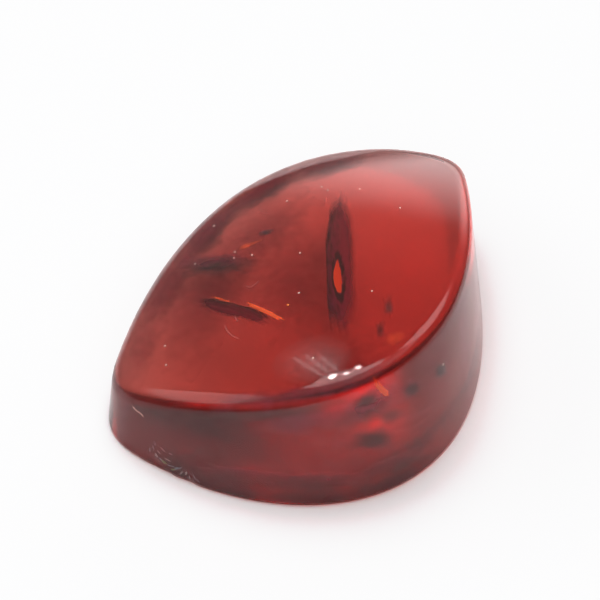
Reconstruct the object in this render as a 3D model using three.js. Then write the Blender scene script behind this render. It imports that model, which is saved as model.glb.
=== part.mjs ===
// A polished amber stone, cut as one piece: a flat base, a side wall that leans inwards, and a
// tilted domed top that meets the wall in a rounded ridge, high at the front and low at the back.
// Millimetres, +Z up. The origin is on the base, in the middle of the stone's box.

import * as THREE from 'three';
import { ParametricGeometry } from 'three/addons/geometries/ParametricGeometry.js';

const { degToRad, lerp } = THREE.MathUtils;

// Base outline: two arcs that meet at blunt corners on the X axis, each corner rounded off.
// A heading is the direction, in degrees from +X, in which an arc leaves its corner.
const LENGTH = 27.6;
const LEFT = {
  x: -LENGTH / 2,
  rounding: 2.4,
  frontHeading: -79,
  frontHandle: 10.5,
  backHeading: 40,
  backHandle: 11.3,
};
const RIGHT = {
  x: LENGTH / 2,
  rounding: 2.0,
  frontHeading: -120,
  frontHandle: 23.8,
  backHeading: 107.5,
  backHandle: 12.2,
};
const MIDDLE = new THREE.Vector2(-0.4, -1.4);

// Side wall: its lean from the vertical in degrees, and the roundings at its foot and its ridge
const WALL_LEAN = 6.6;
const FOOT_ROUNDING = 0.3;
const RIDGE_ROUNDING = 0.8;

// Domed top: the upper side of a flattened sphere, tilted up towards the front
const DOME_RADIUS = 20.4;
const DOME_HEIGHT = 7.9;
const DOME_CENTRE = new THREE.Vector3(1.1, -4.35, 0.2);
const DOME_TILT = new THREE.Euler(degToRad(-16), degToRad(-4.8), 0);

// Facets: columns around the outline, and rings in each stretch from the base to the top
const COLUMNS = 120;
const FOOT_RINGS = 3;
const WALL_RINGS = 4;
const RIDGE_RINGS = 5;
const TOP_RINGS = 10;
// Above 1, the top's rings lie closer together near the ridge than near the middle
const TOP_SPREAD = 1.5;

// Steps that close in on the height where the wall meets the dome
const MEETING_STEPS = 12;

// Finish: clear cherry-red amber with a high polish
const AMBER_COLOUR = 0x96261c;
const AMBER_ROUGHNESS = 0.06;
const AMBER_OPACITY = 0.85;

// The dome as a unit sphere that is flattened, tilted and set in place
const domeFromSphere = new THREE.Matrix4().compose(
  DOME_CENTRE,
  new THREE.Quaternion().setFromEuler(DOME_TILT),
  new THREE.Vector3(DOME_RADIUS, DOME_RADIUS, DOME_HEIGHT),
);
const sphereFromDome = domeFromSphere.clone().invert();
const unitSphere = new THREE.Sphere(new THREE.Vector3(), 1);

// The point of the dome straight above a place on the base
function domePoint(place) {
  const above = new THREE.Vector3(place.x, place.y, 2 * DOME_RADIUS);
  const ray = new THREE.Ray(above, new THREE.Vector3(0, 0, -1)).applyMatrix4(sphereFromDome);
  return ray.intersectSphere(unitSphere, new THREE.Vector3()).applyMatrix4(domeFromSphere);
}

// The point at a distance from a corner of the outline, in a heading
function along(corner, heading, distance) {
  const angle = degToRad(heading);
  return new THREE.Vector2(corner.x + distance * Math.cos(angle), distance * Math.sin(angle));
}

// The base outline as a closed path, anticlockwise seen from above
function baseOutline() {
  const frontArc = new THREE.CubicBezierCurve(
    along(LEFT, LEFT.frontHeading, LEFT.rounding),
    along(LEFT, LEFT.frontHeading, LEFT.rounding + LEFT.frontHandle),
    along(RIGHT, RIGHT.frontHeading, RIGHT.rounding + RIGHT.frontHandle),
    along(RIGHT, RIGHT.frontHeading, RIGHT.rounding),
  );
  const backArc = new THREE.CubicBezierCurve(
    along(RIGHT, RIGHT.backHeading, RIGHT.rounding),
    along(RIGHT, RIGHT.backHeading, RIGHT.rounding + RIGHT.backHandle),
    along(LEFT, LEFT.backHeading, LEFT.rounding + LEFT.backHandle),
    along(LEFT, LEFT.backHeading, LEFT.rounding),
  );
  const path = new THREE.CurvePath();
  path.add(frontArc);
  path.add(new THREE.QuadraticBezierCurve(frontArc.v3, along(RIGHT, 0, 0), backArc.v0));
  path.add(backArc);
  path.add(new THREE.QuadraticBezierCurve(backArc.v3, along(LEFT, 0, 0), frontArc.v0));
  return path;
}

// The points of one column, from the middle of the base, out to the edge, up the wall,
// over the ridge and in to the middle of the top
function column(edge) {
  const reach = edge.distanceTo(MIDDLE);
  const lean = Math.tan(degToRad(WALL_LEAN));
  const inwards = (inset) => edge.clone().lerp(MIDDLE, inset / reach);
  const at = (inset, height) => new THREE.Vector3(...inwards(inset), height);
  const wallPoint = (height) => at(height * lean, height);
  const topPoint = (inset) => domePoint(inwards(inset));

  let ridgeHeight = 0;
  for (let step = 0; step < MEETING_STEPS; step += 1) {
    ridgeHeight = topPoint(ridgeHeight * lean).z;
  }
  const topStart = ridgeHeight * lean + RIDGE_ROUNDING;

  const foot = new THREE.QuadraticBezierCurve3(at(FOOT_ROUNDING, 0), at(0, 0), wallPoint(FOOT_ROUNDING));
  const ridge = new THREE.QuadraticBezierCurve3(
    wallPoint(ridgeHeight - RIDGE_ROUNDING),
    wallPoint(ridgeHeight),
    topPoint(topStart),
  );
  const wall = new THREE.LineCurve3(foot.v2, ridge.v0);
  const topPoints = Array.from({ length: TOP_RINGS }, (_, ring) => {
    return topPoint(lerp(topStart, reach, ((ring + 1) / TOP_RINGS) ** TOP_SPREAD));
  });

  return [
    at(reach, 0),
    ...foot.getPoints(FOOT_RINGS),
    ...wall.getPoints(WALL_RINGS).slice(1),
    ...ridge.getPoints(RIDGE_RINGS).slice(1),
    ...topPoints,
  ];
}

// The whole skin of the stone, column by column and ring by ring
function stoneGeometry() {
  const outline = baseOutline();
  const columns = Array.from({ length: COLUMNS + 1 }, (_, index) => {
    return column(outline.getPoint((index % COLUMNS) / COLUMNS));
  });
  const rings = columns[0].length - 1;
  const skin = (u, v, target) => target.copy(columns[Math.round(u * COLUMNS)][Math.round(v * rings)]);
  const geometry = new ParametricGeometry(skin, COLUMNS, rings);
  geometry.computeVertexNormals();

  geometry.computeBoundingBox();
  const boxMiddle = geometry.boundingBox.getCenter(new THREE.Vector3());
  geometry.translate(-boxMiddle.x, -boxMiddle.y, 0);
  return geometry;
}

const amber = new THREE.MeshStandardMaterial({
  color: AMBER_COLOUR,
  roughness: AMBER_ROUGHNESS,
  metalness: 0,
  transparent: true,
  opacity: AMBER_OPACITY,
});

const stone = new THREE.Mesh(stoneGeometry(), amber);
stone.name = 'amber_stone';

const part = new THREE.Group();
part.add(stone);

export default part;
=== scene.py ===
"""Looks of a polished amber stone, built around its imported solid, in metres and in the solid's own frame."""

import logging
import math
from dataclasses import dataclass, field
from enum import Enum

import bmesh
import bpy
from bmesh.types import BMEdge, BMesh, BMVert
from bpy.types import Material, Node, NodeTree, Object
from mathutils import Euler, Matrix, Vector, noise
from mathutils.geometry import interpolate_bezier

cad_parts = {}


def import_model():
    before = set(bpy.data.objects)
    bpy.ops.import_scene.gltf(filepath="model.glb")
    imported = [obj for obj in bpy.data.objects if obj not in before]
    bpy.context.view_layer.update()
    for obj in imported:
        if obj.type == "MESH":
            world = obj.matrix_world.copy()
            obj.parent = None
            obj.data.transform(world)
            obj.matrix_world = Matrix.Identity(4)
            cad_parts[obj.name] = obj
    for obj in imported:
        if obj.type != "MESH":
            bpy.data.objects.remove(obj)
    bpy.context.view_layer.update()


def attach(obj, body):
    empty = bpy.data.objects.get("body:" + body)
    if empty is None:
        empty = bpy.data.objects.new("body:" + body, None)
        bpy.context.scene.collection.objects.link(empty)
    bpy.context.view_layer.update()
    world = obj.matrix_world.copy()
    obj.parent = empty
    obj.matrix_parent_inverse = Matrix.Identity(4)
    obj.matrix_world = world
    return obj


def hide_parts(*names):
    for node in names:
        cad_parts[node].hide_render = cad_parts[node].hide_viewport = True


MM = 0.001
BODY = "root"
STONE_NODE = "amber_stone"

Pair = tuple[float, float]
Triple = tuple[float, float, float]

log = logging.getLogger("amber_stone")


def place(bm: BMesh, name: str, *materials: Material) -> Object:
    """Turn a finished bmesh into a smooth-shaded object at the origin.

    Args:
        bm: the mesh, already where it belongs. It is freed.
        name: the object's name.
        materials: its material slots, in order.

    Returns:
        The new object, linked to the scene.
    """
    mesh = bpy.data.meshes.new(name)
    bm.to_mesh(mesh)
    bm.free()
    mesh.shade_smooth()
    for material in materials:
        mesh.materials.append(material)
    piece = bpy.data.objects.new(name, mesh)
    bpy.context.scene.collection.objects.link(piece)
    return piece


def blank_material(name: str) -> tuple[Material, NodeTree, Node, Node]:
    """Make a node material with a Principled shader.

    Args:
        name: the material's name.

    Returns:
        The material, its node tree, its Principled node and its output node.
    """
    material = bpy.data.materials.new(name)
    material.use_nodes = True
    tree = material.node_tree
    tree.nodes.clear()
    shader = tree.nodes.new("ShaderNodeBsdfPrincipled")
    output = tree.nodes.new("ShaderNodeOutputMaterial")
    tree.links.new(shader.outputs["BSDF"], output.inputs["Surface"])
    return material, tree, shader, output


@dataclass(frozen=True)
class Corner:
    """A blunt corner of the base outline, and how the two arcs leave it."""

    x: float
    rounding: float
    front_heading: float
    front_handle: float
    back_heading: float
    back_handle: float

    def along(self, heading: float, distance: float) -> Vector:
        """Give the point at a distance from the corner, in a heading in degrees from +X."""
        angle = math.radians(heading)
        return Vector((self.x + distance * math.cos(angle), distance * math.sin(angle)))

    def front(self, distance: float) -> Vector:
        """Give a point on the tangent of the front arc."""
        return self.along(self.front_heading, distance)

    def back(self, distance: float) -> Vector:
        """Give a point on the tangent of the back arc."""
        return self.along(self.back_heading, distance)


@dataclass
class StoneShape:
    """The stone's form: the base outline, the leaning wall and the tilted dome, as in the solid."""

    left: Corner = Corner(-13.8 * MM, 2.4 * MM, -79.0, 10.5 * MM, 40.0, 11.3 * MM)
    right: Corner = Corner(13.8 * MM, 2.0 * MM, -120.0, 23.8 * MM, 107.5, 12.2 * MM)
    middle: Vector = field(default_factory=lambda: Vector((-0.4 * MM, -1.4 * MM)))
    wall_lean: float = math.radians(6.6)
    foot_rounding: float = 0.3 * MM
    ridge_rounding: float = 0.8 * MM
    dome_radius: float = 20.4 * MM
    dome_height: float = 7.9 * MM
    dome_centre: Vector = field(default_factory=lambda: Vector((1.1, -4.35, 0.2)) * MM)
    dome_tilt: Euler = field(default_factory=lambda: Euler((math.radians(-16.0), math.radians(-4.8), 0.0)))
    arc_steps: int = 400
    frame_steps: int = 960
    meeting_steps: int = 12

    def __post_init__(self) -> None:
        """Work out the dome's matrix and the shift that puts the origin in the middle of the box."""
        scale = Matrix.Diagonal((self.dome_radius, self.dome_radius, self.dome_height, 1.0))
        tilt = Matrix.Rotation(self.dome_tilt.x, 4, "X") @ Matrix.Rotation(self.dome_tilt.y, 4, "Y")
        self.sphere_from_dome = (Matrix.Translation(self.dome_centre) @ tilt @ scale).inverted()
        points = self.outline_polyline()
        self.box_middle = Vector((
            (min(p.x for p in points) + max(p.x for p in points)) / 2,
            (min(p.y for p in points) + max(p.y for p in points)) / 2,
        ))

    def outline_polyline(self) -> list[Vector]:
        """Draw the base outline finely, anticlockwise seen from above.

        Returns:
            The points, without the closing one.
        """
        left, right = self.left, self.right
        front_arc = (
            left.front(left.rounding),
            left.front(left.rounding + left.front_handle),
            right.front(right.rounding + right.front_handle),
            right.front(right.rounding),
        )
        back_arc = (
            right.back(right.rounding),
            right.back(right.rounding + right.back_handle),
            left.back(left.rounding + left.back_handle),
            left.back(left.rounding),
        )
        right_turn = self.rounded(front_arc[3], right.along(0.0, 0.0), back_arc[0])
        left_turn = self.rounded(back_arc[3], left.along(0.0, 0.0), front_arc[0])
        points = []
        for knots in (front_arc, right_turn, back_arc, left_turn):
            points += [Vector(p) for p in interpolate_bezier(*knots, self.arc_steps)][:-1]
        return points

    @staticmethod
    def rounded(start: Vector, corner: Vector, end: Vector) -> tuple[Vector, Vector, Vector, Vector]:
        """Give the cubic that rounds a corner off between two tangent points."""
        return start, start.lerp(corner, 2 / 3), end.lerp(corner, 2 / 3), end

    def outline(self, count: int) -> list[Vector]:
        """Space points evenly along the base outline.

        Args:
            count: how many points.

        Returns:
            The points, from the front end of the left corner's rounding onwards.
        """
        points = self.outline_polyline()
        steps = [(points[(i + 1) % len(points)] - p).length for i, p in enumerate(points)]
        spacing = sum(steps) / count
        spaced, travelled, index = [], 0.0, 0
        for number in range(count):
            target = number * spacing
            while travelled + steps[index] < target:
                travelled += steps[index]
                index += 1
            share = (target - travelled) / steps[index]
            spaced.append(points[index].lerp(points[(index + 1) % len(points)], share))
        return spaced

    def dome_point(self, plan: Vector) -> Vector:
        """Give the point of the dome straight above a place in plan."""
        start = self.sphere_from_dome @ Vector((plan.x, plan.y, 0.0))
        rise = self.sphere_from_dome.to_3x3() @ Vector((0.0, 0.0, 1.0))
        half = start.dot(rise) / rise.length_squared
        rest = (start.length_squared - 1.0) / rise.length_squared
        return Vector((plan.x, plan.y, -half + math.sqrt(half * half - rest)))

    def column(self, edge: Vector, rings: "RingCounts") -> list[Vector]:
        """Give the points of one column, from the foot up the wall, over the ridge and in to the middle.

        Args:
            edge: the column's point on the base outline.
            rings: how many rings each stretch has.

        Returns:
            The points, in the solid's frame.
        """
        reach = (edge - self.middle).length
        lean = math.tan(self.wall_lean)

        def inwards(inset: float) -> Vector:
            """Give the place in plan at a distance in from the outline."""
            return edge.lerp(self.middle, inset / reach)

        def wall_point(height: float) -> Vector:
            """Give the point of the wall at a height."""
            return inwards(height * lean).to_3d() + Vector((0.0, 0.0, height))

        ridge_height = 0.0
        for _ in range(self.meeting_steps):
            ridge_height = self.dome_point(inwards(ridge_height * lean)).z
        top_start = ridge_height * lean + self.ridge_rounding
        foot = (inwards(self.foot_rounding).to_3d(), edge.to_3d(), wall_point(self.foot_rounding))
        ridge = (
            wall_point(ridge_height - self.ridge_rounding),
            wall_point(ridge_height),
            self.dome_point(inwards(top_start)),
        )
        points = interpolate_bezier(*self.rounded(*foot), rings.foot + 1)
        points += [foot[2].lerp(ridge[0], (i + 1) / rings.wall) for i in range(rings.wall)]
        points += interpolate_bezier(*self.rounded(*ridge), rings.ridge + 1)[1:]
        for ring in range(rings.top):
            share = ((ring + 1) / rings.top) ** rings.top_spread
            points.append(self.dome_point(inwards(top_start + (reach - top_start) * share)))
        shift = self.box_middle.to_3d()
        return [p - shift for p in points]

    def top_frame(self, x: float, y: float) -> Matrix:
        """Give the frame on the top above a place, with Z straight out of it and X along the length.

        Args:
            x: the place's X in the solid's frame.
            y: the place's Y in the solid's frame.

        Returns:
            The matrix from the surface's frame to the solid's.
        """
        shift = self.box_middle.to_3d()
        point = self.dome_point(Vector((x, y)) + self.box_middle)
        normal = self.sphere_from_dome.to_3x3().transposed() @ (self.sphere_from_dome @ point)
        return self.surface_frame(point - shift, normal.normalized(), Vector((1.0, 0.0, 0.0)))

    def wall_frame(self, share: float, height: float) -> Matrix:
        """Give the frame on the wall, with Z straight out of it and Y up.

        Args:
            share: how far round the outline, from 0 to 1.
            height: the height over the base.

        Returns:
            The matrix from the wall's frame to the solid's.
        """
        edges = self.outline(self.frame_steps)
        index = round(share * self.frame_steps) % self.frame_steps
        edge, ahead = edges[index], edges[(index + 1) % self.frame_steps]
        run = (ahead - edge).normalized()
        out = Vector((run.y, -run.x, math.tan(self.wall_lean))).normalized()
        inset = height * math.tan(self.wall_lean)
        plan = edge.lerp(self.middle, inset / (edge - self.middle).length) - self.box_middle
        return self.surface_frame(Vector((plan.x, plan.y, height)), out, run.to_3d())

    @staticmethod
    def surface_frame(point: Vector, normal: Vector, along: Vector) -> Matrix:
        """Give the frame at a point of a surface.

        Args:
            point: the point.
            normal: the way straight out of the surface, of length one, for Z.
            along: the way that X follows as closely as the surface lets it.

        Returns:
            The matrix from the surface's frame to the solid's.
        """
        x_axis = (along - normal * along.dot(normal)).normalized()
        turn = Matrix((x_axis, normal.cross(x_axis), normal)).transposed()
        return Matrix.Translation(point) @ turn.to_4x4()


@dataclass(frozen=True)
class RingCounts:
    """How many rings each stretch of the stone's skin has, and how the top's rings spread."""

    foot: int = 6
    wall: int = 24
    ridge: int = 14
    top: int = 36
    top_spread: float = 1.4


@dataclass(frozen=True)
class AmberFinish:
    """Clear cherry-red amber: light is absorbed on its way through, blue and green most."""

    refraction: float = 1.54
    density: float = 232.0
    absorption: Triple = (0.88, 0.17, 0.06)
    top_roughness: float = 0.03
    ridge_roughness: float = 0.12
    wall_roughness: float = 0.1
    foot_roughness: float = 0.45
    base_roughness: float = 0.12
    smudge_roughness: float = 0.07
    smudge_scale: float = 260.0
    smudge_detail: float = 2.0
    smudge_start: float = 0.5
    smudge_end: float = 0.8
    polish_layer: str = "polish"

    def material(self) -> Material:
        """Make the amber material."""
        material, tree, shader, output = blank_material("polished_amber")
        shader.inputs["Base Color"].default_value = (1.0, 1.0, 1.0, 1.0)
        shader.inputs["Transmission Weight"].default_value = 1.0
        shader.inputs["IOR"].default_value = self.refraction
        polish = tree.nodes.new("ShaderNodeAttribute")
        polish.attribute_name = self.polish_layer
        place_on = tree.nodes.new("ShaderNodeTexCoord")
        smudge = tree.nodes.new("ShaderNodeTexNoise")
        smudge.inputs["Scale"].default_value = self.smudge_scale
        smudge.inputs["Detail"].default_value = self.smudge_detail
        amount = tree.nodes.new("ShaderNodeMapRange")
        amount.inputs["From Min"].default_value = self.smudge_start
        amount.inputs["From Max"].default_value = self.smudge_end
        amount.inputs["To Max"].default_value = self.smudge_roughness
        total = tree.nodes.new("ShaderNodeMath")
        tree.links.new(place_on.outputs["Object"], smudge.inputs["Vector"])
        tree.links.new(smudge.outputs["Fac"], amount.inputs["Value"])
        tree.links.new(polish.outputs["Fac"], total.inputs[0])
        tree.links.new(amount.outputs["Result"], total.inputs[1])
        tree.links.new(total.outputs["Value"], shader.inputs["Roughness"])
        volume = tree.nodes.new("ShaderNodeVolumeAbsorption")
        volume.inputs["Color"].default_value = (*self.absorption, 1.0)
        volume.inputs["Density"].default_value = self.density
        tree.links.new(volume.outputs["Volume"], output.inputs["Volume"])
        return material


@dataclass(frozen=True)
class Chip:
    """A small shell-shaped nick, by its share of the outline, its height, its reach and its depth."""

    share: float
    height: float
    reach: float
    depth: float


@dataclass
class Stone:
    """The body of the stone, in place of the plain solid."""

    shape: StoneShape
    finish: AmberFinish = AmberFinish()
    columns: int = 480
    rings: RingCounts = RingCounts()
    base_margin: float = 0.05 * MM
    wave_depth: float = 0.014 * MM
    wave_length: float = 3.2 * MM
    wave_fade: float = 1.0 * MM
    wave_heart: Vector = field(default_factory=lambda: Vector((0.0, -2.0, 1.0)) * MM)
    nick_grain: float = 0.5
    nick_grain_size: float = 0.3 * MM
    chips: tuple[Chip, ...] = (
        Chip(0.0215, 0.45 * MM, 0.55 * MM, 0.06 * MM),
        Chip(0.0310, 0.25 * MM, 0.70 * MM, 0.08 * MM),
        Chip(0.0400, 0.30 * MM, 0.50 * MM, 0.05 * MM),
        Chip(0.0495, 0.40 * MM, 0.65 * MM, 0.07 * MM),
        Chip(0.0565, 0.20 * MM, 0.45 * MM, 0.05 * MM),
    )

    def roughness_at(self, ring: int) -> float:
        """Give a ring's roughness: ground foot, satin wall, rubbed ridge, bright top.

        Args:
            ring: the ring's number, from the margin on the base upwards.

        Returns:
            The roughness there.
        """
        finish = self.finish
        over_foot = ring - 1
        if over_foot < self.rings.foot:
            return finish.foot_roughness
        over_ridge = (over_foot - self.rings.foot - self.rings.wall) / self.rings.ridge
        share = min(max(over_ridge, 0.0), 1.0)
        rubbed = finish.ridge_roughness * 4.0 * share * (1.0 - share)
        return finish.wall_roughness + (finish.top_roughness - finish.wall_roughness) * share + rubbed

    def worn(self, point: Vector, nicks: list[tuple[Vector, Vector, Chip]]) -> Vector:
        """Give a point of the skin its share of the hand polish's waves and of the nicks.

        Args:
            point: the point on the ideal skin.
            nicks: each nick's middle, the way out of the wall there, and its sizes.

        Returns:
            The point moved in or out.
        """
        outwards = (point - self.wave_heart).normalized()
        fade = min(point.z / self.wave_fade, 1.0)
        moved = point + outwards * (noise.noise(point / self.wave_length) * self.wave_depth * fade)
        for middle, out, chip in nicks:
            nearness = 1.0 - (point - middle).length_squared / chip.reach**2
            if nearness > 0.0:
                grain = 1.0 + self.nick_grain * noise.noise(point / self.nick_grain_size)
                moved -= out * (chip.depth * nearness * grain)
        return moved

    def skin(self) -> list[list[Vector]]:
        """Give the points of the skin, column by column.

        Returns:
            The columns, each from a margin on the base out to the foot and up to the middle of the top.
        """
        nicks = []
        for chip in self.chips:
            spot = self.shape.wall_frame(chip.share, chip.height)
            nicks.append((spot.translation, spot.col[2].to_3d(), chip))
        columns = []
        for edge in self.shape.outline(self.columns):
            ideal = self.shape.column(edge, self.rings)
            margin = ideal[0] - ideal[0].normalized() * self.base_margin
            columns.append([margin, ideal[0]] + [self.worn(point, nicks) for point in ideal[1:]])
        return columns

    def build(self) -> Object:
        """Model the skin ring by ring from a circle, close it and give it the amber.

        Returns:
            The stone's object.
        """
        rows = self.skin()
        bm = bmesh.new()
        bmesh.ops.create_circle(bm, cap_ends=False, segments=self.columns, radius=self.shape.left.rounding)
        number = bm.verts.layers.int.new("column")
        polish = bm.verts.layers.float.new(self.finish.polish_layer)
        bm.verts.ensure_lookup_table()
        for index, vert in enumerate(bm.verts):
            vert[number] = index
            vert.co = rows[index][0]
        loop = list(bm.edges)
        bmesh.ops.contextual_create(bm, geom=loop)
        for vert in bm.verts:
            vert[polish] = self.finish.base_roughness
        for ring in range(1, len(rows[0])):
            grown = bmesh.ops.extrude_edge_only(bm, edges=loop)["geom"]
            fresh = [part for part in grown if isinstance(part, BMVert)]
            for vert in fresh:
                vert.co = rows[vert[number]][ring]
                vert[polish] = self.roughness_at(ring)
            kept = set(fresh)
            loop = [e for e in grown if isinstance(e, BMEdge) and kept.issuperset(e.verts)]
        top = rows[0][-1]
        bmesh.ops.pointmerge(bm, verts=fresh, merge_co=top)
        bmesh.ops.recalc_face_normals(bm, faces=list(bm.faces))
        piece = place(bm, "amber_body", self.finish.material())
        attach(piece, BODY)
        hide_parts(STONE_NODE)
        return piece


@dataclass(frozen=True)
class FlakeFinish:
    """A stress flake, an opaque sheet with painted reflections: brown painted shade, wine-red across, and an
    orange painted highlight that glows.

    It thins out to nothing at its edges.
    """

    # Painted reflections: brown painted shade, the wine-red across, and the orange painted highlight.
    dark: Triple = (0.07, 0.035, 0.035)
    wine: Triple = (0.45, 0.08, 0.2)
    painted_highlight: Triple = (1.0, 0.18, 0.03)
    # How strongly the painted highlight glows, though the flake is no lamp.
    painted_glow: float = 0.18
    roughness: float = 0.45
    grain_scale: float = 1400.0
    grain_detail: float = 1.0
    tone_grain: float = 0.6
    cover_grain: float = 0.14
    shade_border: Pair = (0.25, 0.75)
    painted_highlight_border: Pair = (0.35, 0.6)
    cover_border: Pair = (0.0, 1.0)
    shade_layer: str = "shade"
    painted_highlight_layer: str = "painted_highlight"
    cover_layer: str = "cover"

    def material(self) -> Material:
        """Make the flake material."""
        material, tree, shader, _ = blank_material("stress_flake")
        shader.inputs["Roughness"].default_value = self.roughness
        place_on = tree.nodes.new("ShaderNodeTexCoord")
        grain = tree.nodes.new("ShaderNodeTexNoise")
        grain.inputs["Scale"].default_value = self.grain_scale
        grain.inputs["Detail"].default_value = self.grain_detail
        tree.links.new(place_on.outputs["Object"], grain.inputs["Vector"])
        shade = self.grained(tree, grain, self.shade_layer, self.tone_grain, self.shade_border)
        gleam = self.grained(tree, grain, self.painted_highlight_layer, self.tone_grain, self.painted_highlight_border)
        # Brown painted shade to wine-red, then the orange painted highlight over it, which also glows.
        body = self.mixed(tree, shade, self.dark, self.wine)
        colour = self.mixed(tree, gleam, self.dark, self.painted_highlight)
        tree.links.new(body.outputs["Result"], colour.inputs["A"])
        tree.links.new(colour.outputs["Result"], shader.inputs["Base Color"])
        painted_glow = tree.nodes.new("ShaderNodeMath")
        painted_glow.operation = "MULTIPLY"
        painted_glow.inputs[1].default_value = self.painted_glow
        tree.links.new(gleam.outputs["Result"], painted_glow.inputs[0])
        tree.links.new(painted_glow.outputs["Value"], shader.inputs["Emission Strength"])
        shader.inputs["Emission Color"].default_value = (*self.painted_highlight, 1.0)
        cover = self.grained(tree, grain, self.cover_layer, self.cover_grain, self.cover_border)
        tree.links.new(cover.outputs["Result"], shader.inputs["Alpha"])
        return material

    @staticmethod
    def grained(tree: NodeTree, grain: Node, layer: str, depth: float, border: Pair) -> Node:
        """Read a mesh layer and roughen its borders with grain.

        Args:
            tree: the material's nodes.
            grain: the noise node.
            layer: the mesh layer's name.
            depth: how strong the grain is.
            border: where the border starts and where it ends.

        Returns:
            The node that gives the share from 0 to 1.
        """
        attribute = tree.nodes.new("ShaderNodeAttribute")
        attribute.attribute_name = layer
        shift = tree.nodes.new("ShaderNodeMath")
        shift.operation = "MULTIPLY_ADD"
        shift.inputs[1].default_value = depth
        share = tree.nodes.new("ShaderNodeMapRange")
        share.inputs["From Min"].default_value = border[0] + depth / 2
        share.inputs["From Max"].default_value = border[1] + depth / 2
        tree.links.new(grain.outputs["Fac"], shift.inputs[0])
        tree.links.new(attribute.outputs["Fac"], shift.inputs[2])
        tree.links.new(shift.outputs["Value"], share.inputs["Value"])
        return share

    @staticmethod
    def mixed(tree: NodeTree, share: Node, low: Triple, high: Triple) -> Node:
        """Mix two colours by a share.

        Args:
            tree: the material's nodes.
            share: the node that gives the share.
            low: the colour at 0.
            high: the colour at 1.

        Returns:
            The mix node.
        """
        mix = tree.nodes.new("ShaderNodeMix")
        mix.data_type = "RGBA"
        mix.inputs["A"].default_value = (*low, 1.0)
        mix.inputs["B"].default_value = (*high, 1.0)
        tree.links.new(share.outputs["Result"], mix.inputs["Factor"])
        return mix


@dataclass(frozen=True)
class Gleam:
    """A painted highlight patch on a flake, by its middle and half sizes in shares of the flake's own half
    axes.
    """

    along: float
    across: float
    half_along: float
    half_across: float

    def nearness(self, along: float, across: float) -> float:
        """Tell how near a place is: 1 in the middle, 0 on the border, less outside."""
        x = (along - self.along) / self.half_along
        y = (across - self.across) / self.half_across
        return 1.0 - math.hypot(x, y)


FULL_GLEAM = Gleam(0.0, 0.0, 2.0, 2.0)


@dataclass(frozen=True)
class FlakeForm:
    """How finely every flake is modelled, and how its outline, its face and its tones are broken up.

    Pitches count the waves of the noise from the middle of a flake to its edge.
    """

    thickness: float = 0.02 * MM
    segments: int = 72
    rings: int = 12
    coarse_pitch: float = 2.2
    fine_pitch: float = 7.0
    fine_share: float = 0.5
    ripple_pitch: float = 3.0
    ripple: float = 0.35
    blunting: float = 0.3
    # How sharply each painted highlight patch sets in, and the ring of painted shade around it.
    gleam_slope: float = 1.5
    shade_ring_reach: float = 0.35
    shade_ring_depth: float = 0.9

    def outline_noise(self, turn: float, seed: Vector) -> float:
        """Give how far the outline strays at an angle, for a flake told by its middle."""
        way = Vector((math.cos(turn), math.sin(turn), 0.0))
        coarse = noise.noise(way * self.coarse_pitch + Vector((0.0, 0.0, seed.x)))
        return coarse + self.fine_share * noise.noise(way * self.fine_pitch + Vector((0.0, 0.0, seed.y)))

    def face_noise(self, x: float, y: float, seed: Vector) -> float:
        """Give how far the face strays at a place, for a flake told by its middle."""
        return self.ripple * noise.noise(Vector((self.ripple_pitch * x, self.ripple_pitch * y, seed.z)))


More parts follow.
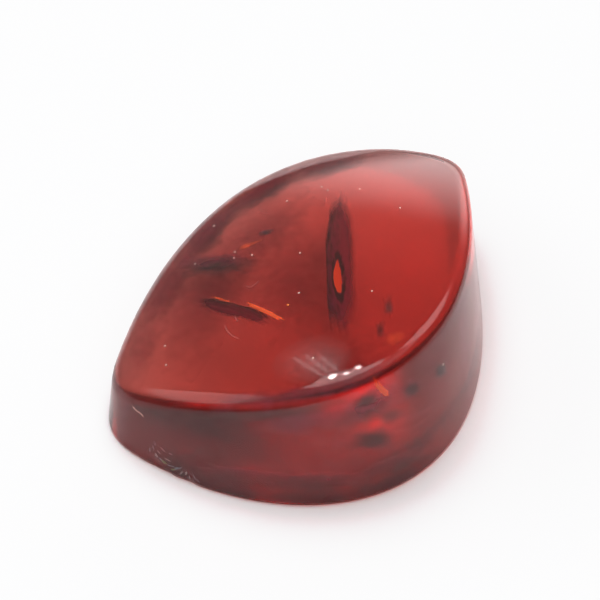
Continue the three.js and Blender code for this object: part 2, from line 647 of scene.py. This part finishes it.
@dataclass(frozen=True)
class Flake:
    """A thin curved fracture inside the amber: its middle and half axes in millimetres, and its tones.

    The dark share is how much of the flake, from its near edge, is brown painted shade. The gleams are
    patches of painted highlight. The cover is how dense the flake is, and the fade is the share of its
    width over which it thins out.
    """

    middle: Triple
    along: Triple
    across: Triple
    dark_share: float = 0.2
    gleams: tuple[Gleam, ...] = ()
    cover: float = 1.0
    fade: float = 0.15
    bow: float = 0.15
    ragged: float = 0.16

    def grow(self, bm: BMesh, finish: FlakeFinish, form: FlakeForm) -> None:
        """Add the flake to a mesh.

        Args:
            bm: the mesh.
            finish: the finish, for its layers' names.
            form: how flakes are modelled.
        """
        shade = bm.verts.layers.float[finish.shade_layer]
        painted_highlight = bm.verts.layers.float[finish.painted_highlight_layer]
        cover = bm.verts.layers.float[finish.cover_layer]
        disc = bmesh.ops.create_circle(bm, cap_ends=True, segments=form.segments, radius=1.0)["verts"]
        face = disc[0].link_faces[0]
        face.normal_update()
        for _ in range(form.rings - 1):
            bmesh.ops.inset_region(
                bm, faces=[face], thickness=1.0 / form.rings, use_boundary=True, use_even_offset=True
            )
        verts = self.connected(disc[0])
        middle, along, across = (Vector(v) * MM for v in (self.middle, self.along, self.across))
        rise = along.cross(across).normalized() * (self.bow * across.length)
        seed = middle / MM
        for vert in verts:
            x, y = vert.co.x, vert.co.y
            radius = math.hypot(x, y)
            # Painted highlight patches with a ring of painted shade round each; the rest runs from brown
            # painted shade at the near edge to wine-red.
            gleam = max((g.nearness(x, y) for g in self.gleams), default=-1.0)
            shade_ring = max(1.0 - abs(gleam + form.shade_ring_reach) / form.shade_ring_reach, 0.0)
            vert[shade] = y / 2 + 1.0 - self.dark_share - form.shade_ring_depth * shade_ring
            vert[painted_highlight] = min(max(0.5 + gleam * form.gleam_slope, 0.0), 1.0)
            inwards = min((1.0 - radius) / self.fade, 1.0)
            vert[cover] = self.cover * inwards * inwards * (3.0 - 2.0 * inwards)
            reach = 1.0 + self.ragged * form.outline_noise(math.atan2(y, x), seed) * radius * radius
            blunt = 1.0 + form.blunting * y * y
            vert.co = middle + along * (x * reach * blunt) + across * (y * reach)
            vert.co += rise * (1.0 - radius * radius + form.face_noise(x, y, seed))
        faces = list({f for v in verts for f in v.link_faces})
        bmesh.ops.solidify(bm, geom=faces, thickness=form.thickness)

    @staticmethod
    def connected(start: BMVert) -> list[BMVert]:
        """Collect the vertices that hang together with one.

        Args:
            start: the vertex to start from.

        Returns:
            All the vertices of its part of the mesh.
        """
        found, open_verts = {start}, [start]
        while open_verts:
            for edge in open_verts.pop().link_edges:
                for vert in edge.verts:
                    if vert not in found:
                        found.add(vert)
                        open_verts.append(vert)
        return list(found)


@dataclass(frozen=True)
class ShadeVeil(Flake):
    """A thin wine-red sheet of painted shade that darkens the amber seen through it and thins out all the way
    from its middle.
    """

    dark_share: float = 0.1
    cover: float = 0.25
    fade: float = 1.0
    ragged: float = 0.4


@dataclass(frozen=True)
class ShadeBlot(Flake):
    """A small flake painted dark as shade, with soft edges."""

    dark_share: float = 0.9
    cover: float = 0.6
    fade: float = 0.9
    ragged: float = 0.5


@dataclass(frozen=True)
class Glint(Flake):
    """A sliver of painted highlight all over, orange and glowing as if it mirrored the light."""

    dark_share: float = 0.0
    gleams: tuple[Gleam, ...] = (FULL_GLEAM,)
    ragged: float = 0.5


@dataclass
class Flakes:
    """The stress flakes inside the stone, one piece for each group that split together."""

    finish: FlakeFinish = FlakeFinish()
    form: FlakeForm = FlakeForm()
    groups: dict[str, tuple[Flake, ...]] = field(default_factory=lambda: {
        "tall_crack": (
            Flake(
                (1.9, -0.5, 5.4), (4.2, 5.3, -1.25), (1.55, 0.1, -2.2), 0.4,
                (Gleam(-0.22, 0.2, 0.21, 0.22),), fade=0.4,
            ),
        ),
        "left_crack": (
            Flake((-4.95, 0.85, 5.0), (0.75, -2.6, 0.9), (0.3, -0.1, -1.65), 0.45, fade=0.4),
            Glint((-4.27, -1.1, 6.6), (0.18, -1.62, 0.45), (0.13, 0.03, 0.055)),
            Glint((-5.05, 1.96, 5.55), (0.2, -0.85, 0.28), (0.08, 0.02, 0.035), cover=0.5, fade=0.5),
        ),
        "back_crack": (
            ShadeBlot((-2.6, 5.35, 3.1), (1.7, -2.15, 0.55), (0.75, 0.85, -0.05), 0.7, cover=0.85),
            Glint((-1.1, 4.8, 5.1), (0.5, -0.35, 0.15), (0.25, 0.18, 0.2), cover=0.4, fade=0.9),
            Glint((-0.5, 4.55, 5.3), (0.4, -0.2, 0.12), (0.06, 0.04, 0.05), cover=0.35, fade=0.7),
            ShadeBlot((0.4, 4.9, 5.2), (0.5, -0.35, 0.1), (0.2, 0.25, 0.05)),
        ),
        "ridge_crack": (
            Glint((-0.7, -8.3, 7.9), (0.6, -0.3, 0.2), (-0.25, -0.4, -0.2), cover=0.2, fade=0.9),
            ShadeBlot((-0.8, -7.2, 7.6), (0.45, 0.5, 0.25), (0.25, -0.2, -0.1), cover=0.4),
            ShadeBlot((0.6, -6.2, 7.8), (0.5, 0.7, 0.1), (0.25, -0.2, 0.0), cover=0.4),
        ),
        "wall_crack": (
            Glint((-2.8, -9.2, 7.0), (0.3, -0.1, -0.6), (0.15, -0.1, 0.05)),
            ShadeBlot((-3.7, -9.0, 6.6), (0.7, -0.3, 0.1), (0.1, 0.2, 0.5), cover=0.55),
            ShadeBlot((-2.3, -9.2, 4.6), (0.9, -0.3, 0.0), (0.1, 0.25, 0.6), cover=0.5),
            ShadeBlot((-0.9, -9.0, 5.7), (0.6, -0.3, -0.2), (0.1, 0.2, 0.6)),
            ShadeBlot((-3.2, -8.9, 3.1), (1.2, -0.6, -0.2), (0.1, 0.4, 0.8), cover=0.7),
            ShadeBlot((1.4, -8.2, 5.0), (0.7, -0.1, -0.3), (0.1, 0.2, 0.7)),
        ),
        # Painted shade under the ridge and over the front wall.
        "wall_shade_veils": (
            ShadeVeil((-3.6, -8.7, 5.8), (2.8, -0.9, 0.4), (0.15, 0.3, 1.7), 0.45, cover=0.7),
            ShadeVeil((-6.8, -7.2, 5.6), (2.2, -1.5, 0.3), (0.2, 0.3, 1.2), 0.0, cover=0.4),
            ShadeVeil((-7.0, -7.5, 6.8), (3.2, -2.3, 1.0), (0.25, 0.3, 0.6), 0.7, cover=0.45, fade=0.8),
            ShadeVeil((-9.0, -5.4, 5.9), (1.9, -1.9, 0.8), (0.3, 0.35, 0.6), 0.7, cover=0.35, fade=0.8),
        ),
        # Painted shade low in the stone, darkening the middle and the back of the top.
        "deep_shade_veils": (
            ShadeVeil((0.6, 1.4, 1.0), (3.2, 3.0, 0.2), (-1.9, 2.2, 0.1), 0.0, cover=0.18),
            ShadeVeil((-1.5, -5.5, 0.8), (2.8, -1.4, 0.1), (1.0, 1.8, 0.1), cover=0.2),
            ShadeVeil((-3.4, 4.2, 0.9), (5.0, 2.7, 0.1), (-1.6, 2.7, 0.1), 0.0, ragged=0.3),
            ShadeVeil((2.0, 6.0, 0.9), (4.0, 0.8, 0.1), (-0.5, 2.4, 0.1), 0.0, cover=0.2, ragged=0.3),
        ),
        # Painted shade along the back rim.
        "rim_shade_veils": (
            ShadeVeil((-8.4, 4.0, 0.6), (2.6, 2.1, 0.1), (-0.8, 1.0, 0.1), 0.0, cover=0.12, fade=0.8),
            ShadeVeil((-4.5, 6.7, 0.6), (3.2, 1.9, 0.1), (-0.7, 1.1, 0.1), cover=0.3, fade=0.8),
            ShadeVeil((-0.2, 8.7, 0.6), (3.4, 1.4, 0.1), (-0.4, 1.2, 0.1), 0.3, cover=0.5, fade=0.8),
            ShadeVeil((4.6, 9.4, 0.6), (3.4, 0.2, 0.1), (-0.1, 1.2, 0.1), 0.3, cover=0.5, fade=0.8),
            ShadeVeil((8.5, 8.4, 0.6), (2.6, -1.3, 0.1), (0.4, 1.1, 0.1), 0.3, cover=0.45, fade=0.8),
        ),
        # Painted shade along the front foot.
        "front_shade_veils": (
            ShadeVeil((-8.8, -5.4, 0.5), (2.6, -2.4, 0.05), (1.1, 1.2, 0.05), 0.5, cover=0.5, fade=0.8),
            ShadeVeil((-6.1, -7.8, 0.5), (2.6, -1.8, 0.05), (0.8, 1.2, 0.05), 0.5, cover=0.55, fade=0.8),
            ShadeVeil((-2.2, -9.2, 0.5), (2.4, -0.4, 0.05), (0.3, 1.3, 0.05), 0.5, cover=0.5, fade=0.8),
        ),
    })

    def build(self) -> list[Object]:
        """Model every group.

        Returns:
            The groups' objects.
        """
        material = self.finish.material()
        pieces = []
        for name, flakes in self.groups.items():
            bm = bmesh.new()
            bm.verts.layers.float.new(self.finish.shade_layer)
            bm.verts.layers.float.new(self.finish.painted_highlight_layer)
            bm.verts.layers.float.new(self.finish.cover_layer)
            for flake in flakes:
                flake.grow(bm, self.finish, self.form)
            bmesh.ops.recalc_face_normals(bm, faces=list(bm.faces))
            piece = place(bm, name, material)
            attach(piece, BODY)
            pieces.append(piece)
        return pieces


class Tone(Enum):
    """The colours of what lies on the stone."""

    PALE = (0.8, 0.68, 0.6)
    # Painted light: the lint on the top is rose for the amber's red light showing through it.
    ROSE = (0.46, 0.17, 0.16)
    ORANGE = (0.85, 0.3, 0.06)
    ASH = (0.34, 0.3, 0.3)
    GREEN = (0.2, 0.22, 0.13)
    GREY = (0.22, 0.22, 0.25)


@dataclass(frozen=True)
class DirtFinish:
    """Dull dust or lint of one tone."""

    tone: Tone
    roughness: float = 0.8

    def material(self) -> Material:
        """Make the material."""
        material, _, shader, _ = blank_material(f"dirt_{self.tone.name.lower()}")
        shader.inputs["Base Color"].default_value = (*self.tone.value, 1.0)
        shader.inputs["Roughness"].default_value = self.roughness
        return material


@dataclass(frozen=True)
class Grain:
    """A grain of dust or a crumb, by its tone and its length, width and height in millimetres."""

    tone: Tone
    length: float
    width: float
    height: float
    lumps: float = 0.5
    lump_pitch: float = 2.5

    def grow(self, bm: BMesh, frame: Matrix, turn: float) -> list[BMVert]:
        """Add the grain to a mesh, bedded on a surface.

        Args:
            bm: the mesh.
            frame: the surface's frame, with Z straight out of it.
            turn: the angle by which the grain is turned on the surface.

        Returns:
            The grain's vertices.
        """
        verts = bmesh.ops.create_icosphere(bm, subdivisions=2, radius=0.5)["verts"]
        for vert in verts:
            lump = noise.noise(vert.co * self.lump_pitch + frame.translation / MM)
            vert.co *= 1.0 + self.lumps * lump
        size = Matrix.Diagonal((self.length * MM, self.width * MM, self.height * MM, 1.0))
        bmesh.ops.transform(bm, matrix=frame @ Matrix.Rotation(turn, 4, "Z") @ size, verts=verts)
        return verts


@dataclass(frozen=True)
class Fibre:
    """A lint fibre: where it starts, its heading in degrees, and its arcs.

    An arc is given by its radius in millimetres and its turn in degrees. The lift is the share of the
    fibre's thickness by which its middle lies over the surface.
    """

    start: Pair
    heading: float
    arcs: tuple[Pair, ...]
    lift: float = 0.4
    sides: int = 6
    arc_steps: int = 8

    def grow(self, bm: BMesh, frame: Matrix, thickness: float) -> None:
        """Add the fibre to a mesh, lying on a surface.

        Args:
            bm: the mesh.
            frame: the surface's frame at the fibre's start, with Z straight out of it.
            thickness: how thick the fibre is.
        """
        raised = frame @ Matrix.Translation((0.0, 0.0, thickness * self.lift))
        cursor = raised @ Matrix.Rotation(math.radians(self.heading), 4, "Z")
        upright = Matrix.Rotation(math.pi / 2, 4, "Y")
        start = cursor @ upright
        ring = bmesh.ops.create_circle(bm, segments=self.sides, radius=thickness / 2, matrix=start)["verts"]
        section = list({edge for vert in ring for edge in vert.link_edges})
        ends = list(section)
        for radius, turn in self.arcs:
            angle = math.radians(turn)
            centre = cursor @ Vector((0.0, math.copysign(radius * MM, turn), 0.0))
            axis = cursor.col[2].to_3d()
            spun = bmesh.ops.spin(
                bm, geom=section, cent=centre, axis=axis, angle=angle, steps=self.arc_steps, use_merge=False
            )
            section = [part for part in spun["geom_last"] if isinstance(part, BMEdge)]
            about = Matrix.Translation(centre)
            cursor = about @ Matrix.Rotation(angle, 4, axis) @ about.inverted() @ cursor
        bmesh.ops.holes_fill(bm, edges=ends + section)


@dataclass
class Dirt:
    """What lies on the stone: dust specks and lint, and crumbs in the nicks at its base edge.

    Specks, dots and fibres on the top are placed by X and Y in millimetres. Fibres and crumbs on the wall
    are placed by their share of the outline and their height in millimetres. The two turns, in radians, set
    the grains at different angles: one for each further speck, one for a whole round of the outline.
    """

    shape: StoneShape
    lint_thickness: float = 0.035 * MM
    speck_turn: float = 2.4
    crumb_turn: float = 90.0
    speck: Grain = Grain(Tone.PALE, 0.14, 0.1, 0.06)
    dot: Grain = Grain(Tone.ORANGE, 0.17, 0.15, 0.07)
    specks: tuple[Pair, ...] = (
        (2.96, 6.41), (5.18, 5.86), (5.13, 5.23), (6.4, 0.06), (8.8, 3.9), (-2.2, 4.74), (-2.61, 4.29),
        (-1.86, 3.53), (-4.12, 6.11), (-0.99, 8.43), (-9.59, 1.64), (5.24, 7.59), (-0.16, 1.16),
        (-2.5, -1.74), (6.31, 3.67), (0.26, -4.92), (-10.48, 0.33), (-5.25, -6.54),
    )
    dots: tuple[Pair, ...] = ((-3.52, -2.03),)
    fibres: tuple[Fibre, ...] = (
        Fibre((-3.89, 1.44), -88.0, ((2.0, 9.0), (0.12, 75.0), (2.5, 14.0))),
        Fibre((-1.85, 6.97), 60.0, ((0.22, -70.0), (0.2, -85.0))),
        Fibre((-6.72, -0.3), -118.0, ((2.4, 22.0), (2.0, 22.0))),
        Fibre((-5.88, -0.13), -122.0, ((1.2, 28.0),)),
        Fibre((4.03, 4.13), 32.0, ((1.5, 22.0),)),
        Fibre((1.29, 6.98), -80.0, ((3.0, -9.0), (3.0, 9.0))),
        Fibre((1.8, 8.04), 70.0, ((0.22, -80.0), (0.2, -60.0))),
    )
    wall_fibres: tuple[Fibre, ...] = (
        Fibre((0.0042, 3.56), 18.0, ((0.32, -80.0),)),
        Fibre((0.0042, 3.56), 198.0, ((0.32, -80.0),)),
    )
    crumbs: tuple[tuple[float, float, Grain], ...] = (
        (0.0177, 1.2, Grain(Tone.GREY, 0.3, 0.08, 0.06)),
        (0.024, 1.07, Grain(Tone.ASH, 0.3, 0.12, 0.08)),
        (0.0313, 0.85, Grain(Tone.GREEN, 0.4, 0.16, 0.1)),
        (0.037, 0.8, Grain(Tone.GREY, 0.5, 0.06, 0.05)),
        (0.0427, 0.82, Grain(Tone.GREY, 0.4, 0.14, 0.1)),
        (0.047, 0.62, Grain(Tone.ASH, 0.4, 0.06, 0.05)),
        (0.051, 0.76, Grain(Tone.ASH, 0.3, 0.12, 0.08)),
        (0.0583, 0.65, Grain(Tone.GREY, 0.4, 0.08, 0.06)),
        (0.022, 1.9, Grain(Tone.GREY, 0.3, 0.05, 0.04)),
        (0.029, 1.75, Grain(Tone.ASH, 0.36, 0.05, 0.04)),
        (0.036, 1.7, Grain(Tone.GREY, 0.28, 0.05, 0.04)),
        (0.0205, 1.5, Grain(Tone.GREY, 0.34, 0.06, 0.05)),
        (0.0265, 1.4, Grain(Tone.ASH, 0.3, 0.07, 0.05)),
        (0.0285, 0.95, Grain(Tone.GREY, 0.26, 0.1, 0.07)),
        (0.034, 1.15, Grain(Tone.ASH, 0.44, 0.05, 0.04)),
        (0.0395, 0.6, Grain(Tone.GREEN, 0.3, 0.12, 0.08)),
        (0.0455, 0.95, Grain(Tone.GREY, 0.3, 0.07, 0.05)),
        (0.0545, 0.5, Grain(Tone.ASH, 0.34, 0.08, 0.06)),
        (0.061, 0.5, Grain(Tone.GREY, 0.3, 0.06, 0.05)),
        (0.276, 6.46, Grain(Tone.PALE, 0.16, 0.12, 0.07)),
    )

    def build(self) -> list[Object]:
        """Model the dust, the lint and the crumbs.

        Returns:
            The pieces' objects.
        """
        return [self.dust(), self.lint(), self.edge_crumbs()]

    def dust(self) -> Object:
        """Strew the specks over the top."""
        bm = bmesh.new()
        tones = [self.speck.tone, self.dot.tone]
        for grain, places in ((self.speck, self.specks), (self.dot, self.dots)):
            for number, (x, y) in enumerate(places):
                verts = grain.grow(bm, self.shape.top_frame(x * MM, y * MM), number * self.speck_turn)
                self.paint(verts, tones.index(grain.tone))
        return self.finished(bm, "dust_specks", tones)

    def lint(self) -> Object:
        """Lay the fibres on the top, painted rose for the amber's red light that shows through them, and the
        paler ones on the wall.
        """
        bm = bmesh.new()
        for fibre in self.fibres:
            x, y = fibre.start
            fibre.grow(bm, self.shape.top_frame(x * MM, y * MM), self.lint_thickness)
        on_top = set(bm.verts)
        for fibre in self.wall_fibres:
            share, height = fibre.start
            fibre.grow(bm, self.shape.wall_frame(share, height * MM), self.lint_thickness)
        self.paint([vert for vert in bm.verts if vert not in on_top], 1)
        return self.finished(bm, "lint_fibres", [Tone.ROSE, Tone.PALE])

    def edge_crumbs(self) -> Object:
        """Press the crumbs onto the wall, most of them in the nicks."""
        bm = bmesh.new()
        tones = list(dict.fromkeys(grain.tone for _, _, grain in self.crumbs))
        for share, height, grain in self.crumbs:
            verts = grain.grow(bm, self.shape.wall_frame(share, height * MM), share * self.crumb_turn)
            self.paint(verts, tones.index(grain.tone))
        return self.finished(bm, "edge_crumbs", tones)

    @staticmethod
    def paint(verts: list[BMVert], slot: int) -> None:
        """Give the faces around some vertices a material slot.

        Args:
            verts: the vertices.
            slot: the material slot's number.
        """
        for vert in verts:
            for face in vert.link_faces:
                face.material_index = slot

    @staticmethod
    def finished(bm: BMesh, name: str, tones: list[Tone]) -> Object:
        """Turn a mesh of dirt into a piece that rides on the stone.

        Args:
            bm: the mesh.
            name: the piece's name.
            tones: the tones, in the order of the material slots.

        Returns:
            The piece's object.
        """
        bmesh.ops.recalc_face_normals(bm, faces=list(bm.faces))
        piece = place(bm, name, *(DirtFinish(tone).material() for tone in tones))
        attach(piece, BODY)
        return piece


@dataclass(frozen=True)
class FloorFinish:
    """Plain white paper."""

    colour: Triple = (0.9, 0.905, 0.915)
    roughness: float = 0.85

    def material(self) -> Material:
        """Make the floor material."""
        material, _, shader, _ = blank_material("white_floor")
        shader.inputs["Base Color"].default_value = (*self.colour, 1.0)
        shader.inputs["Roughness"].default_value = self.roughness
        shader.inputs["Specular IOR Level"].default_value = 0.0
        return material


class Shown(Enum):
    """Where a light is to be seen."""

    EVERYWHERE = "everywhere"
    NOT_MIRRORED = "everywhere but in the polish"
    ONLY_MIRRORED = "only in the polish"


@dataclass(frozen=True)
class SoftLight:
    """A flat soft light that faces the stone, by its way from the stone in degrees and its size in metres.

    Azimuth 0 is away from the camera and 90 to its right.
    """

    name: str
    azimuth: float
    elevation: float
    width: float
    height: float
    radiance: float
    shown: Shown = Shown.EVERYWHERE
    distance: float = 0.5

    def build(self, direction: Vector) -> None:
        """Hang the light.

        Args:
            direction: the way from the stone to the light.
        """
        light = bpy.data.lights.new(self.name, "AREA")
        light.shape = "ELLIPSE"
        light.size = self.width
        light.size_y = self.height
        light.energy = self.radiance * math.pi * math.pi * self.width * self.height / 4
        lamp = bpy.data.objects.new(self.name, light)
        lamp.location = direction * self.distance
        lamp.rotation_mode = "QUATERNION"
        lamp.rotation_quaternion = direction.to_track_quat("Z", "Y")
        lamp.visible_camera = False
        lamp.visible_glossy = self.shown != Shown.NOT_MIRRORED
        lamp.visible_diffuse = self.shown != Shown.ONLY_MIRRORED
        lamp.visible_transmission = self.shown != Shown.ONLY_MIRRORED
        bpy.context.scene.collection.objects.link(lamp)


@dataclass(frozen=True)
class MirroredLight(SoftLight):
    """A light that shows only in the polish."""

    shown: Shown = Shown.ONLY_MIRRORED


@dataclass
class Studio:
    """Floor, soft light and camera around the stone."""

    azimuth: float = math.radians(-38.0)
    elevation: float = math.radians(46.0)
    distance: float = 200.0 * MM
    aim: Vector = field(default_factory=lambda: Vector((1.94, 3.85, 0.0)) * MM)
    lens: float = 199.2
    sensor: float = 36.0
    clip_start: float = 10.0 * MM
    floor_radius: float = 50.0 * MM
    floor_segments: int = 64
    floor_gap: float = 0.03 * MM
    surround: float = 0.28
    front_share: float = 0.2
    front_elevation: float = math.radians(20.0)
    front_inner: float = math.radians(30.0)
    front_outer: float = math.radians(60.0)
    glow: float = 2.2
    glow_azimuth: float = math.radians(12.0)
    glow_elevation: float = math.radians(2.0)
    glow_inner: float = math.radians(6.0)
    glow_outer: float = math.radians(27.0)
    below_share: float = 0.25
    below_inner: float = math.radians(84.0)
    below_outer: float = math.radians(92.0)
    bounces: int = 10
    mirror_bounces: int = 6
    flake_passes: int = 32
    film_white: float = 2.0
    film_shoulder: tuple[Pair, ...] = ((0.35, 0.36), (0.6, 0.7), (0.8, 0.955))
    lights: tuple[SoftLight, ...] = (
        SoftLight("overhead_panel", -5.0, 79.0, 0.42, 0.42, 3.3, Shown.NOT_MIRRORED),
        SoftLight("front_fill", 175.0, 45.0, 0.6, 0.5, 1.0, Shown.NOT_MIRRORED),
        SoftLight("left_panel", -78.0, 39.0, 0.5, 0.26, 1.2),
        MirroredLight("ridge_lamp", -31.5, 60.0, 0.13, 0.2, 2.6),
        MirroredLight("corner_lamp", 20.0, 56.0, 0.3, 0.2, 2.0),
        MirroredLight("long_bulb", -29.2, 49.8, 0.011, 0.006, 34.0),
        MirroredLight("middle_bulb", -26.6, 50.8, 0.006, 0.007, 34.0),
        MirroredLight("small_bulb", -23.9, 50.6, 0.005, 0.006, 30.0),
        MirroredLight("left_tube", -30.4, 45.0, 0.004, 0.06, 2.2),
        MirroredLight("middle_tube", -28.8, 45.6, 0.004, 0.06, 2.2),
        MirroredLight("right_tube", -27.2, 46.4, 0.004, 0.05, 2.2),
        MirroredLight("inner_haze", -28.0, 46.0, 0.025, 0.04, 0.3),
        MirroredLight("second_haze", -28.4, 45.4, 0.045, 0.06, 0.25),
        MirroredLight("third_haze", -28.8, 44.8, 0.065, 0.08, 0.25),
        MirroredLight("outer_haze", -29.2, 44.2, 0.085, 0.1, 0.2),
    )

    def towards(self, azimuth: float, elevation: float) -> Vector:
        """Give a direction from the stone: azimuth 0 is away from the camera and 90 degrees to its right."""
        flat = Vector((math.sin(azimuth - self.azimuth), math.cos(azimuth - self.azimuth), 0.0))
        return flat * math.cos(elevation) + Vector((0.0, 0.0, math.sin(elevation)))

    def add_floor(self) -> None:
        """Lay the floor just under the stone, with the air gap that a polished base has."""
        bm = bmesh.new()
        bmesh.ops.create_circle(bm, cap_ends=True, segments=self.floor_segments, radius=self.floor_radius)
        bmesh.ops.translate(bm, verts=list(bm.verts), vec=(0.0, 0.0, -self.floor_gap))
        place(bm, "floor", FloorFinish().material())

    def add_lights(self) -> None:
        """Hang the soft lights around the stone."""
        for light in self.lights:
            light.build(self.towards(math.radians(light.azimuth), math.radians(light.elevation)))

    def add_surround(self) -> None:
        """Make the grey surround: dark on the camera's side and below, with a glow behind on the right."""
        world = bpy.data.worlds.new("surround")
        world.use_nodes = True
        bpy.context.scene.world = world
        tree = world.node_tree
        plain, dim = self.surround, self.surround * self.front_share
        front = self.towards(math.pi, self.front_elevation)
        shade = self.graded(tree, front, self.front_inner, self.front_outer, dim, plain)
        glow_way = self.towards(self.glow_azimuth, self.glow_elevation)
        glow = self.graded(tree, glow_way, self.glow_inner, self.glow_outer, self.glow, 0.0)
        total = tree.nodes.new("ShaderNodeMath")
        tree.links.new(shade.outputs["Result"], total.inputs[0])
        tree.links.new(glow.outputs["Result"], total.inputs[1])
        nadir = Vector((0.0, 0.0, -1.0))
        below = self.graded(tree, nadir, self.below_inner, self.below_outer, self.below_share, 1.0)
        dimmed = tree.nodes.new("ShaderNodeMath")
        dimmed.operation = "MULTIPLY"
        tree.links.new(total.outputs["Value"], dimmed.inputs[0])
        tree.links.new(below.outputs["Result"], dimmed.inputs[1])
        sky = tree.nodes["Background"]
        sky.inputs["Color"].default_value = (1.0, 1.0, 1.0, 1.0)
        tree.links.new(dimmed.outputs["Value"], sky.inputs["Strength"])

    @staticmethod
    def graded(
        tree: NodeTree, way: Vector, inner: float, outer: float, inside: float, outside: float
    ) -> Node:
        """Grade the surround around a direction.

        Args:
            tree: the world's nodes.
            way: the direction.
            inner: the angle from it up to which the inside value holds.
            outer: the angle from which the outside value holds.
            inside: the value around the direction.
            outside: the value everywhere else.

        Returns:
            The node that gives the value.
        """
        direction = tree.nodes.new("ShaderNodeTexCoord")
        facing = tree.nodes.new("ShaderNodeVectorMath")
        facing.operation = "DOT_PRODUCT"
        facing.inputs[1].default_value = way
        grade = tree.nodes.new("ShaderNodeMapRange")
        grade.interpolation_type = "SMOOTHSTEP"
        grade.inputs["From Min"].default_value = math.cos(outer)
        grade.inputs["From Max"].default_value = math.cos(inner)
        grade.inputs["To Min"].default_value = outside
        grade.inputs["To Max"].default_value = inside
        tree.links.new(direction.outputs["Generated"], facing.inputs[0])
        tree.links.new(facing.outputs["Value"], grade.inputs["Value"])
        return grade

    def add_camera(self) -> None:
        """Set the camera at the photograph's angle."""
        data = bpy.data.cameras.new("camera")
        data.lens = self.lens
        data.sensor_width = self.sensor
        data.clip_start = self.clip_start
        camera = bpy.data.objects.new("camera", data)
        back = self.towards(math.pi, self.elevation)
        camera.location = self.aim + back * self.distance
        camera.rotation_mode = "QUATERNION"
        camera.rotation_quaternion = (-back).to_track_quat("-Z", "Y")
        bpy.context.scene.collection.objects.link(camera)
        bpy.context.scene.camera = camera

    def set_film(self) -> None:
        """Let light pass through the stone often enough, and roll the brightest tones off as film does."""
        scene = bpy.context.scene
        scene.cycles.max_bounces = self.bounces
        scene.cycles.transmission_bounces = self.bounces
        scene.cycles.glossy_bounces = self.mirror_bounces
        scene.cycles.transparent_max_bounces = self.flake_passes
        scene.cycles.caustics_refractive = True
        scene.cycles.caustics_reflective = True
        view = scene.view_settings
        view.view_transform = "Standard"
        view.use_curve_mapping = True
        view.curve_mapping.white_level = (self.film_white,) * 3
        tone = view.curve_mapping.curves[3]
        for light, shown in self.film_shoulder:
            tone.points.new(light / self.film_white, shown)
        view.curve_mapping.update()

    def build(self) -> None:
        """Set up everything around the stone."""
        self.add_floor()
        self.add_lights()
        self.add_surround()
        self.add_camera()
        self.set_film()


def main() -> None:
    """Build the stone and the studio, and report each piece."""
    logging.basicConfig(level=logging.INFO)
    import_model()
    Studio().build()
    shape = StoneShape()
    for piece in [Stone(shape).build()] + Flakes().build() + Dirt(shape).build():
        log.info("%s: %d faces", piece.name, len(piece.data.polygons))


if __name__ == "__main__":
    main()
